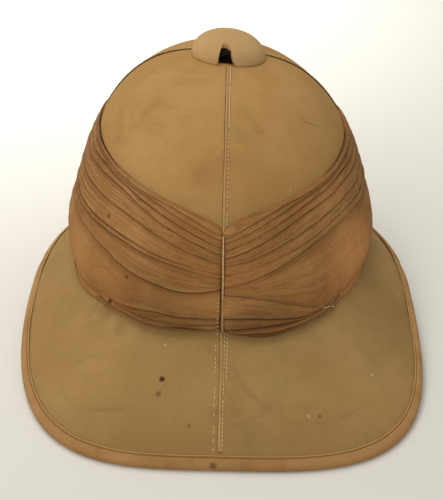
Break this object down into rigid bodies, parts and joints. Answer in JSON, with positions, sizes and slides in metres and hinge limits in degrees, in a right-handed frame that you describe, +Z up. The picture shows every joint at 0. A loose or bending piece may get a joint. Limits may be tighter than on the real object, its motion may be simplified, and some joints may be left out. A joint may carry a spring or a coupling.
{
  "type": "pith helmet",
  "caption": "Sun helmet of pith under khaki cloth, with a wide sloping brim, a wound and folded cloth band and a vented domed button on top.",
  "frame": {"origin": "on the surface that the helmet rests on, under the middle of its length and width", "axes": "+Y towards the front of the helmet, +X towards the wearer's right, +Z up"},
  "size_m": [0.27, 0.345, 0.1871],
  "materials": {
    "drill": "khaki cotton drill, worn and a little stained",
    "binding_tape": "plain woven cotton tape",
    "pagri_cloth": "fine plain-weave cotton, folded and pressed",
    "zinc_grey": "dull grey metal"
  },
  "bodies": {
    "root": {"crown": "drill", "brim": "drill", "brim_binding": "binding_tape", "crown_seam_back": "drill", "crown_seam_right": "drill", "crown_seam_front": "drill", "crown_seam_left": "drill", "brim_seam_back": "drill", "brim_seam_front": "drill", "pagri": "pagri_cloth", "pagri_end": "pagri_cloth", "vent_cap": "drill", "vent_collar": "zinc_grey"}
  },
  "joints": []
}
